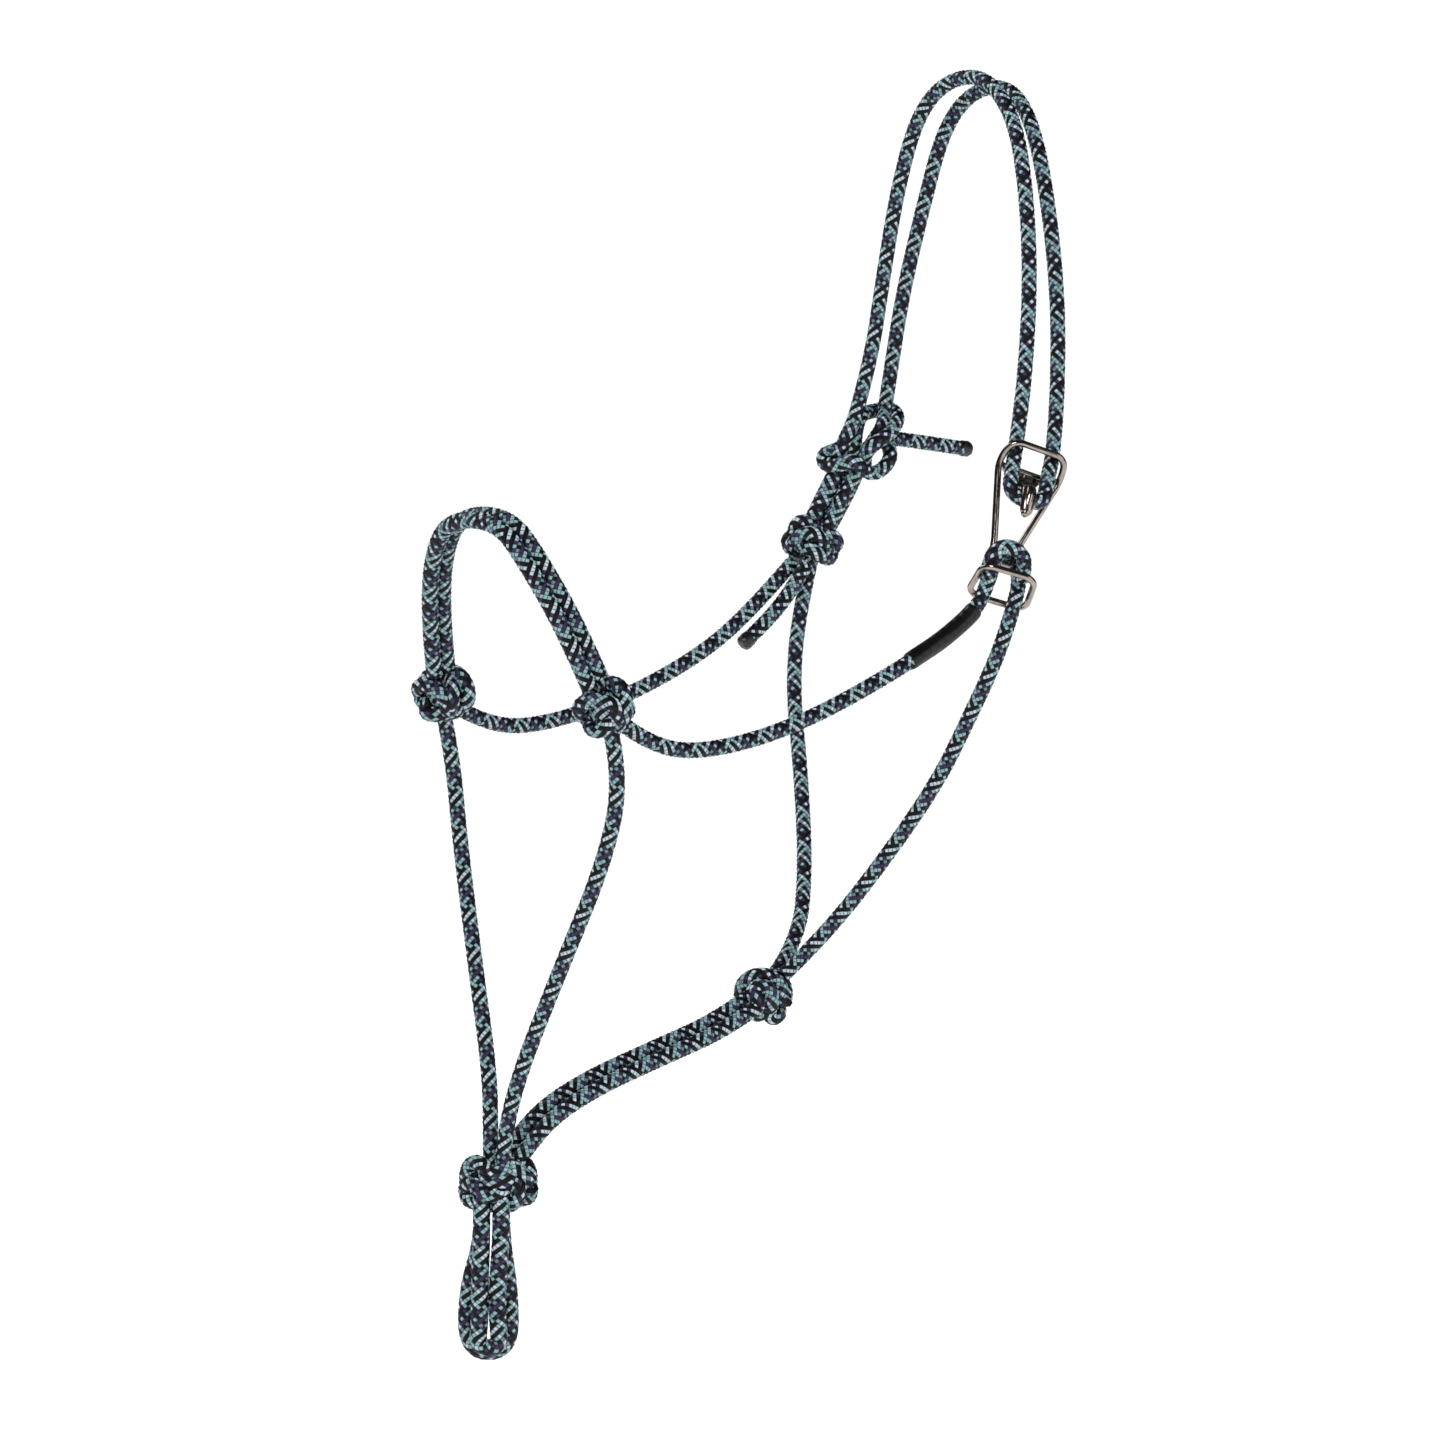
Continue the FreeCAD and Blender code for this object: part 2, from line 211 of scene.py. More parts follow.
def ropeMaterial():
    n = Nodes("braided rope")
    place = n.add("ShaderNodeSeparateXYZ")
    n.put(place.inputs[0], n.add("ShaderNodeUVMap", uv_map="braid").outputs[0])
    s, z = place.outputs[0], place.outputs[1]
    i, j = n.math("FLOOR", s), n.math("FLOOR", z)
    fs, fz = n.math("SUBTRACT", s, i), n.math("SUBTRACT", z, j)
    onTop = n.math("LESS_THAN", n.math("FLOORED_MODULO", n.math("ADD", i, j), 2.0), 0.5)
    across, run = n.pick(onTop, fz, fs), n.pick(onTop, fs, fz)

    def ends(index, colours):
        ramp = n.add("ShaderNodeValToRGB")
        ramp.color_ramp.interpolation = "CONSTANT"
        stops = ramp.color_ramp.elements
        while len(stops) < len(colours):
            stops.new(0.5)
        for k, word in enumerate(colours):
            stops[k].position = k / len(colours)
            stops[k].color = yarn[word]
        turn = n.math("FLOORED_MODULO", index, float(len(colours)))
        n.put(ramp.inputs[0], n.math("DIVIDE", n.math("ADD", turn, 0.5), float(len(colours))))
        return ramp.outputs[0]

    colour = n.blend(onTop, ends(j, otherWay), ends(i, oneWay))
    # painted shade: each float is darkened toward black at its sides and ends, partly painted shade in the
    # creases between the picks, partly the black yarns showing between them
    side = n.math("ABSOLUTE", n.math("SUBTRACT", n.math("MULTIPLY", across, 2.0), 1.0))
    away = n.math("ABSOLUTE", n.math("SUBTRACT", n.math("MULTIPLY", run, 2.0), 1.0))
    creaseShade = n.math("MAXIMUM", n.smooth(side, 0.6, 0.98), n.smooth(away, 0.68, 1.0))
    colour = n.blend(n.math("MULTIPLY", creaseShade, 0.9), colour, yarn["black"])
    noise = n.add("ShaderNodeTexNoise")
    noise.inputs["Scale"].default_value = 1.7
    n.put(noise.inputs["Vector"], n.add("ShaderNodeUVMap", uv_map="braid").outputs[0])
    worn = n.smooth(noise.outputs[0], 0.3, 0.7, 0.78, 1.12)
    colour = n.blend(1.0, colour, worn, "MULTIPLY")
    n.put(n.shader.inputs["Base Color"], colour)
    fibres = n.math("SINE", n.math("MULTIPLY", across, 6.2832 * 4))
    twist = n.math("SINE", n.math("ADD", n.math("MULTIPLY", run, 26.0), n.math("MULTIPLY", across, 9.0)))
    height = n.math("ADD", n.math("MULTIPLY", fibres, 0.6), n.math("MULTIPLY", twist, 0.35))
    n.put(n.shader.inputs["Normal"], n.bump(height, 0.00007, 0.7))
    n.shader.inputs["Roughness"].default_value = 0.5
    n.shader.inputs["Specular IOR Level"].default_value = 0.2
    return n.material


def metalMaterial():
    n = Nodes("dark nickel plate")
    spots = n.add("ShaderNodeTexNoise")
    spots.inputs["Scale"].default_value = 260
    spots.inputs["Detail"].default_value = 4
    n.put(spots.inputs["Vector"], n.add("ShaderNodeTexCoord").outputs["Object"])
    colour = n.blend(n.smooth(spots.outputs[0], 0.35, 0.75), (0.34, 0.295, 0.265, 1), (0.24, 0.205, 0.185, 1))
    n.put(n.shader.inputs["Base Color"], colour)
    n.put(n.shader.inputs["Roughness"], n.smooth(spots.outputs[0], 0.3, 0.8, 0.14, 0.28))
    n.put(n.shader.inputs["Normal"], n.bump(spots.outputs[0], 0.00005, 0.35))
    n.shader.inputs["Metallic"].default_value = 1.0
    return n.material


def sleeveMaterial():
    n = Nodes("black satin sleeve")
    noise = n.add("ShaderNodeTexNoise")
    noise.inputs["Scale"].default_value = 900
    n.put(noise.inputs["Vector"], n.add("ShaderNodeTexCoord").outputs["Object"])
    place = n.add("ShaderNodeSeparateXYZ")
    n.put(place.inputs[0], n.add("ShaderNodeUVMap", uv_map="braid").outputs[0])
    warp = n.math("SINE", n.math("MULTIPLY", place.outputs[0], 6.2832 * 60))
    weft = n.math("SINE", n.math("MULTIPLY", place.outputs[1], 6.2832 * 40))
    height = n.math("ADD", n.math("MULTIPLY", warp, 0.3), n.math("ADD", n.math("MULTIPLY", weft, 0.5),
                                                                 noise.outputs[0]))
    n.put(n.shader.inputs["Normal"], n.bump(height, 0.00005, 0.5))
    n.put(n.shader.inputs["Base Color"],
          n.blend(n.smooth(noise.outputs[0], 0.3, 0.8), linear(5, 5, 6), linear(12, 12, 14)))
    n.shader.inputs["Roughness"].default_value = 0.36
    n.shader.inputs["Specular IOR Level"].default_value = 0.35
    return n.material


def tipMaterial():
    n = Nodes("melted rope end")
    noise = n.add("ShaderNodeTexNoise")
    noise.inputs["Scale"].default_value = 420
    noise.inputs["Detail"].default_value = 3
    n.put(noise.inputs["Vector"], n.add("ShaderNodeTexCoord").outputs["Object"])
    n.put(n.shader.inputs["Base Color"],
          n.blend(n.smooth(noise.outputs[0], 0.35, 0.75), linear(8, 8, 10), linear(26, 26, 30)))
    n.put(n.shader.inputs["Roughness"], n.smooth(noise.outputs[0], 0.3, 0.7, 0.28, 0.55))
    n.put(n.shader.inputs["Normal"], n.bump(noise.outputs[0], 0.0003, 0.8))
    return n.material


ropeLook, metalLook, sleeveLook, tipLook = ropeMaterial(), metalMaterial(), sleeveMaterial(), tipMaterial()
print("materials made")


# ---- rope: a curve gives the line, a braided mesh is laid along it
def splineLine(name, points, keep=False):
    # the route's own smooth line, read from a curve with no bevel
    data = bpy.data.curves.new(name, "CURVE")
    data.dimensions = "3D"
    data.resolution_u = 16
    spline = data.splines.new("NURBS")
    spline.points.add(len(points) - 1)
    for knob, p in zip(spline.points, points):
        knob.co = (*(p * mm), 1.0)
    spline.order_u = 3
    spline.use_endpoint_u = True
    holder = bpy.data.objects.new(name, data)
    bpy.context.collection.objects.link(holder)
    mesh = bpy.data.meshes.new_from_object(holder.evaluated_get(bpy.context.evaluated_depsgraph_get()))
    line = np.array([v.co[:] for v in mesh.vertices])
    bpy.data.objects.remove(holder)
    bpy.data.curves.remove(data)
    bpy.data.meshes.remove(mesh)
    return line


def lengthOf(line):
    return float(np.linalg.norm(np.diff(line, axis=0), axis=1).sum())


def evenly(line, count):
    walked = np.concatenate([[0], np.cumsum(np.linalg.norm(np.diff(line, axis=0), axis=1))])
    even = np.linspace(0, walked[-1], count)
    return np.stack([np.interp(even, walked, line[:, k]) for k in range(3)], 1)


def braidHeight(s, z):
    # how far the braid stands up: rounded floats that dive at their ends
    i, j = np.floor(s), np.floor(z)
    top = np.mod(i + j, 2) < 0.5
    across = np.where(top, s - i, z - j)
    run = np.where(top, z - j, s - i)
    side = np.abs(2 * across - 1)
    away = np.abs(2 * run - 1)
    return np.sqrt(np.clip(1 - side ** 2, 0, 1)) * np.clip(1 - away ** 3, 0, 1) ** 0.5


def braidedTube(name, line, thick=None, start=0.0, squeeze=None, ends=rope["endsPerWay"]):
    # rings of points half a step turned from each other, so that faces follow the yarns
    thick = (thick or rope["thick"]) * mm
    k = rope["cells"]
    around = ends * k
    ringStep = rope["lay"] * mm / (rope["endsPerWay"] * 2 * k)
    count = max(8, int(round(lengthOf(line) / ringStep)) + 1)
    centre = evenly(line, count)
    for _ in range(4):
        centre[1:-1] = (centre[:-2] + 2 * centre[1:-1] + centre[2:]) / 4
    heading = np.gradient(centre, axis=0)
    heading /= np.linalg.norm(heading, axis=1)[:, None]
    side = np.cross(heading[0], [0.3, 0.2, 0.93])
    side /= np.linalg.norm(side)
    sides = []
    for h in heading:
        side = side - h * side.dot(h)
        side = side / np.linalg.norm(side)
        sides.append(side)
    sides = np.array(sides)
    other = np.cross(heading, sides)
    ring = np.arange(count)[:, None]
    m = 2 * np.arange(around)[None, :] + ring % 2
    offset = int(round(start * 2 * k))
    s = (m + ring + offset) / (2 * k)
    z = (m - ring - offset) / (2 * k)
    angle = m / (2 * around) * 2 * math.pi
    # heights are read just inside each cell, where the yarns' edges are low anyway
    height = braidHeight(s + 1e-4, z + 1e-4)
    radius = thick / 2 + (height - 0.75) * rope["relief"] * mm
    if squeeze is not None:
        radius = radius * squeeze(np.linspace(0, 1, count))[:, None]
    place = (centre[:, None, :] + radius[:, :, None] *
             (np.cos(angle)[:, :, None] * sides[:, None, :] + np.sin(angle)[:, :, None] * other[:, None, :]))
    verts = place.reshape(-1, 3)
    rows = np.arange(count - 2)[:, None]
    cols = np.arange(around)[None, :]
    odd = rows % 2
    right = (rows + 1) * around + (cols + odd) % around
    left = (rows + 1) * around + (cols - 1 + odd) % around
    faces = np.stack([rows * around + cols, right, (rows + 2) * around + cols, left], -1).reshape(-1, 4)
    step = 2 * cols + odd
    corner = [(step, rows), (step + 1, rows + 1), (step, rows + 2), (step - 1, rows + 1)]
    uv = np.stack([np.stack([(a + b + offset) / (2 * k), (a - b - offset) / (2 * k)], -1)
                   for a, b in corner], 2).reshape(-1, 2)
    # each end is closed by a fan
    extra = []
    extraUv = []
    for end, (firstRow, secondRow, flip) in enumerate(((0, 1, False), (count - 1, count - 2, True))):
        hub = len(verts) + end
        oddRow = firstRow % 2
        for q in range(around):
            a = firstRow * around + q
            b = secondRow * around + (q + oddRow) % around
            c = secondRow * around + (q - 1 + oddRow) % around
            one = [hub, b, a] if not flip else [hub, a, b]
            two = [hub, a, c] if not flip else [hub, c, a]
            extra += [one, two]
            extraUv += [(1.5, 1.5)] * 6
    verts = np.concatenate([verts, centre[:1], centre[-1:]])
    mesh = bpy.data.meshes.new(name)
    mesh.from_pydata(verts.tolist(), [], faces.tolist() + extra)
    layer = mesh.uv_layers.new(name="braid")
    layer.data.foreach_set("uv", np.concatenate([uv, np.array(extraUv)]).astype(np.float32).ravel())
    for polygon in mesh.polygons:
        polygon.use_smooth = True
    mesh.materials.append(ropeLook)
    piece = bpy.data.objects.new(name, mesh)
    bpy.context.collection.objects.link(piece)
    return piece


def joined(name, pieces):
    makeActive(pieces[0])
    for p in pieces:
        p.select_set(True)
    bpy.ops.object.join()
    pieces[0].name = name
    return pieces[0]


def ropeSpan(node, points, start=0.0, body="halter", thick=None):
    line = splineLine(node + "_line", points)
    piece = braidedTube("rope_" + node, line, start=start, thick=thick)
    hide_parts(node)
    if body:
        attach(piece, body)
    return piece, line


# noseband
noseStep = Vector((0, 0.965, 0.262)) * (halter["strandStep"] / 2)
noseTop = Vector((0, -halter["noseReach"] - 23, -halter["noseDrop"] + 83))
nearHalf = along(nearNose, noseTop, [
    (0.12, 4.5, 0, -1), (0.42, 15, -1.3, -1), (0.77, 20.5, -3, -0.5), (0.985, 16.5, -1, -1)])
noseRun = mirrored(nearHalf) + nearHalf[::-1]
ropeSpan("noseband_back_strand", [p + noseStep for p in noseRun], start=3, thick=7.45)
ropeSpan("noseband_front_strand", [p - noseStep for p in noseRun], start=11, thick=7.45)

# jaw ropes
jawRun = along(nearNose, chin, [
    (0.043, 4, 2, 0), (0.145, 10.5, 9, 0), (0.312, 12.5, 9, 0), (0.573, 4, 3, 0),
    (0.785, -2.6, -1, 0), (0.915, -0.2, -3, 0), (0.98, 3, -2.5, 0)])
ropeSpan("near_jaw_rope", jawRun, start=5)
ropeSpan("off_jaw_rope", mirrored(jawRun), start=1)

# off side
ropeSpan("off_cheek_rope", along(offNose, offCheek, [
    (0.035, -1, 0, -8.5), (0.1, -1, 0, -20.5), (0.23, -1.5, 0, -33), (0.466, -0.5, 0, -37.3),
    (0.687, 0.7, 0, -31.8), (0.845, -1, -1.5, -21.2), (0.96, -2.5, -1.5, -8)]), start=9)
ropeSpan("off_throat_rope", along(offCheek, throat, [
    (0.04, 0, 1, 0), (0.18, -10.5, 5.5, 0), (0.35, -20.3, 15.6, 0), (0.53, -16, 22, 0),
    (0.748, -7, 23.5, 0), (0.9, -0.5, 18, 0), (0.98, -2.5, 6, 1)]), start=2)

# near side: cheek, round the foot of the hook, throat
cheekRun = along(nearNose, atHook(-4.8, -11, 2.6), [
    (0.037, 1, 0, -9), (0.12, 1, 0, -25), (0.267, 0.6, 0, -35), (0.488, -0.2, 0, -37),
    (0.765, -1.6, 0, -28), (0.967, -1.4, -1.6, -16)])
arch = [
    atHook(-4.8, -11, 2.6), atHook(-6.4, -1.5, 6.2), atHook(-2.8, 4.4, 6.0),
    atHook(1.3, 4.3, -6.0), atHook(8.6, 1.2, -6.4), atHook(11.3, -7.5, -2.5),
    atHook(10.6, -21, 0)]
throatRun = along(atHook(10.6, -21, 0), throat, [
    (0.13, 5.5, 5.6, 1.4), (0.29, 5.9, 12.6, 1.6), (0.47, 6.1, 19.9, 2), (0.7, 3.4, 20.5, 2.5),
    (0.885, 1.6, 16.5, 3.5), (0.975, 2, 5, 2)])
nearSide, nearSideLine = ropeSpan("near_side_rope", cheekRun + arch + throatRun, start=7)

# the turn in front of the hook's foot, given as seen from the near front; no solid stands behind it
footTurn = [(-8.2, -9.5, 3.5), (-7.0, -3.5, 5.2), (-5.0, 2.6, 6.0), (-1.6, 5.2, 6.3), (2.4, 5.4, 6.3),
            (6.0, 4.0, 5.4), (8.9, 0.8, 3.4), (9.6, -4.0, 0.5), (8.6, -9.5, -3.0)]
footPiece = braidedTube("foot_turn_rope", splineLine("turn", [
    foot + viewRight * r + viewUp * u + back * t for r, u, t in footTurn]), start=13)
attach(footPiece, "halter")

# the pair under the jaw
curbRun = along(throat, chin, [
    (0.05, 0, 0, -1), (0.17, 0, 0, -1.5), (0.42, 0, 0, 6.5), (0.69, 0, 0, 14.5),
    (0.87, 0, -1.5, 13.5), (0.97, 0, 0, 4.5)])
curbLift = Vector((-0.88, -0.13, 0.45)) * (halter["strandStep"] / 2)
ropeSpan("curb_upper_strand", [p + curbLift for p in curbRun], start=6, thick=7.3)
ropeSpan("curb_lower_strand", [p - curbLift for p in curbRun], start=12, thick=7.3)

# lead loop
loop = {"half": 10.0, "innerHalf": 5.2, "drop": 67.5}
loopSide = Vector((math.cos(math.radians(50)), math.sin(math.radians(50)), 0))
loopApart = Vector((loopSide.y, -loopSide.x, 0)) * (halter["strandStep"] / 2)
loopTop = chin + Vector((0, -5, -10))
neck = rope["thick"] / 2 + 0.8
outerBight = [
    (neck, 4), (neck, -16), (loop["half"] - 1.8, -40), (loop["half"] - 1.8, -loop["drop"]),
    (-loop["half"] - 1.8, -loop["drop"]), (-loop["half"] - 1.8, -40), (-neck, -16), (-neck, 4)]
leg, low = (halter["strandStep"] + 0.2) / 2, 3.5 - loop["drop"]
innerBight = [
    (neck, 4), (neck, -15), (leg - 1.4, -36), (leg - 1.4, low + 12), (loop["innerHalf"] - 1.4, low),
    (-loop["innerHalf"] - 1.4, low), (-leg - 1.4, low + 12), (-leg - 1.4, -36), (-neck, -15), (-neck, 4)]
for node, bight, apart, start in (("lead_loop_outer", outerBight, -loopApart, 3),
                                  ("lead_loop_inner", innerBight, loopApart, 8)):
    piece = ropeSpan(node, [loopTop + loopSide * x + apart + Vector((0, 0, z)) for x, z in bight],
                     start=start, body=None, thick=7.8 if node == "lead_loop_inner" else None)[0]
    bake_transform(piece)

# crown rope
front = along(tie, poll, [
    (0.07, -1.5, -7, 0), (0.23, -5, -4.5, 0), (0.46, -17.2, -2, 0), (0.69, -24.5, -2.5, 2),
    (0.87, -23.5, -3, 6.5), (0.985, -12, -2, 2)])
frontDown = along(poll, atHook(-8.3, 54, -1.0), [
    (0.013, 13, -2.5, 2), (0.12, 29, -3, 0), (0.32, 29.5, -2, 1), (0.565, 20.5, 2, 0.5),
    (0.82, 8.5, 2.5, -0.5)])
rear = along(tie, poll, [
    (0.085, -6, 15, 0), (0.22, -12.5, 16, 0), (0.42, -20, 16, 0), (0.645, -24.5, 16.5, 0),
    (0.87, -26, 16, 1), (0.985, -12, 15, -2)])
rearDown = along(poll, atHook(10.2, 54, -1.0), [
    (0.013, 12, 14, -2.5), (0.13, 24, 11, -1.5), (0.36, 23, 9.5, 0), (0.61, 14.5, 10, 0.5),
    (0.84, 4.5, 7, 0)])
crownBight = [
    atHook(-8.3, 54, -1.0), atHook(-8.1, 42, 2.2), atHook(-7.8, 27.8, 6.2),
    atHook(9.6, 27.8, 6.4), atHook(9.5, 42, 2.6), atHook(10.2, 54, -1.0)]
ropeSpan("crown_rope", front + frontDown + crownBight + rearDown[::-1] + rear[::-1], start=4)

# legs between the tie and the off cheek knot
legLine = (tie - offCheek).normalized()
legWide = Vector((1, 0, 0)).cross(legLine).normalized()
legDeep = legLine.cross(legWide)
for node, across, inward, start in (("eye_front_leg", -4.5, -1.8, 2), ("eye_back_leg", 4.5, -1.8, 9),
                                    ("crown_end_leg", 0, 4.4, 5)):
    shift = legWide * -across + legDeep * inward + Vector((0, 1.5, 0))
    bow = legWide * (-across * 0.35 - 0.8)
    ropeSpan(node, [offCheek + shift + legLine * 4, offCheek + shift + bow + legLine * 24,
                    tie + shift + legLine * -3], start=start, thick=8.5 if across else None)


# free ends with their melted tips
def meltedTip(name, line, body):
    # a rounded stub, a little lumpy and a little fatter than the rope
    tipLen = 7.0 * mm
    heading = Vector(line[-1] - line[-6]).normalized()
    seat = Vector(line[-1]) - heading * tipLen
    deselectAll()
    bpy.ops.mesh.primitive_cylinder_add(vertices=48, radius=3.8 * mm, depth=tipLen, location=(0, 0, tipLen / 2))
    tip = bpy.context.object
    tip.name = name
    bevel = tip.modifiers.new("round", "BEVEL")
    bevel.width = 2.2 * mm
    bevel.segments = 5
    bevel.limit_method = "ANGLE"
    bpy.ops.object.modifier_apply(modifier="round")
    bpy.ops.object.mode_set(mode="EDIT")
    bpy.ops.mesh.select_all(action="SELECT")
    bpy.ops.mesh.subdivide(number_cuts=2)
    bpy.ops.object.mode_set(mode="OBJECT")
    turn = heading.to_track_quat("Z", "Y").to_matrix().to_4x4()
    tip.matrix_world = Matrix.Translation(seat) @ turn
    deselectAll()
    tip.select_set(True)
    bpy.context.view_layer.objects.active = tip
    bpy.ops.object.transform_apply(location=True, rotation=True, scale=True)
    for v in tip.data.vertices:
        lump = math.sin(v.co.x * 2100 + v.co.z * 900) * math.sin(v.co.y * 1700 + 1)
        v.co += v.normal * lump * 0.16 * mm
    bpy.ops.object.shade_smooth()
    tip.data.materials.append(tipLook)
    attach(tip, body)
    return tip


tails = {
    "crown_tail": [tie + Vector((2, 20, 2.5)), tie + Vector((2, 28, 1.7)), tie + Vector((2, 44, -0.3)),
                   tie + Vector((1, 73, -4))],
    "cheek_tail": [offCheek + Vector((4.8, -8, -11)), offCheek + Vector((6.2, -14.5, -18.5)),
                   offCheek + Vector((5, -28, -34)), offCheek + Vector((2.3, -48.6, -50))]}
for node, points in tails.items():
    line = splineLine(node + "_line", points)
    tip = meltedTip(node + "_melt", line, node)
    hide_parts(node + "_tip")
    heading = (points[-1] - points[-2]).normalized()
    piece = ropeSpan(node, points[:-1] + [points[-1] - heading * 6.5], body=None,
                     start=4)[0]
    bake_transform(piece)

# ---- sleeve on the cheek rope
walked = np.concatenate([[0], np.cumsum(np.linalg.norm(np.diff(nearSideLine, axis=0), axis=1))])
heading = (cheekRun[-1] - cheekRun[-2]).normalized()
sleeveMiddle = np.array(((cheekRun[-1] + cheekRun[-2]) * 0.5 + heading * 3) * mm)
at = walked[np.argmin(np.linalg.norm(nearSideLine - sleeveMiddle, axis=1))]


def sleevePiece():
    rings, around = 90, 56
    lengths = np.linspace(at - 22 * mm, at + 22 * mm, rings)
    centre = np.stack([np.interp(lengths, walked, nearSideLine[:, k]) for k in range(3)], 1)
    for _ in range(6):
        centre[1:-1] = (centre[:-2] + 2 * centre[1:-1] + centre[2:]) / 4
    h = np.gradient(centre, axis=0)
    h /= np.linalg.norm(h, axis=1)[:, None]
    side = np.cross(h, [0, 0, 1.0])
    side /= np.linalg.norm(side, axis=1)[:, None]
    other = np.cross(h, side)
    angle = np.linspace(0, 2 * math.pi, around, endpoint=False)
    t = np.linspace(0, 1, rings)
    # soft wrinkles, and rims that turn in
    wrinkle = (0.10 * np.sin(9 * t[:, None] * 6.28 + 2 * np.cos(angle)[None, :])
               * np.sin(angle * 2 + 1.1)[None, :] + 0.07 * np.sin(angle * 3 + 11 * t[:, None]))
    rim = np.clip(np.minimum(t, 1 - t) / 0.02, 0, 1)[:, None]
    outer = (4.15 + wrinkle * rim - 0.25 * (1 - rim)) * mm
    inner = np.full((rings, around), 3.55 * mm)
    layers = []
    for radius in (outer, inner):
        layers.append(centre[:, None, :] + radius[:, :, None] *
                      (np.cos(angle)[None, :, None] * side[:, None, :] +
                       np.sin(angle)[None, :, None] * other[:, None, :]))
    verts = np.concatenate([l.reshape(-1, 3) for l in layers])
    faces, uvs = [], []
    shift = rings * around
    for r in range(rings - 1):
        for q in range(around):
            q2 = (q + 1) % around
            a, b, c, d = r * around + q, r * around + q2, (r + 1) * around + q2, (r + 1) * around + q
            faces.append([a, b, c, d])
            faces.append([a + shift, d + shift, c + shift, b + shift])
            uvs += [(q / around, r / rings), ((q + 1) / around, r / rings), ((q + 1) / around, (r + 1) / rings),
                    (q / around, (r + 1) / rings)]
            uvs += [(0, 0)] * 4
    for r, flip in ((0, False), (rings - 1, True)):
        for q in range(around):
            q2 = (q + 1) % around
            a, b = r * around + q, r * around + q2
            face = [a, a + shift, b + shift, b]
            faces.append(face[::-1] if flip else face)
            uvs += [(q / around, 0)] * 4
    mesh = bpy.data.meshes.new("sleeve")
    mesh.from_pydata(verts.tolist(), [], faces)
    mesh.uv_layers.new(name="braid").data.foreach_set("uv", np.array(uvs, dtype=np.float32).ravel())
    piece = bpy.data.objects.new("label_sleeve_cloth", mesh)
    bpy.context.collection.objects.link(piece)
    makeActive(piece)
    bpy.ops.object.shade_smooth_by_angle(angle=math.radians(50))
    mesh.materials.append(sleeveLook)
    return piece


sleeve = sleevePiece()
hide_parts("label_sleeve")
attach(sleeve, "halter")
print("rope spans laid")


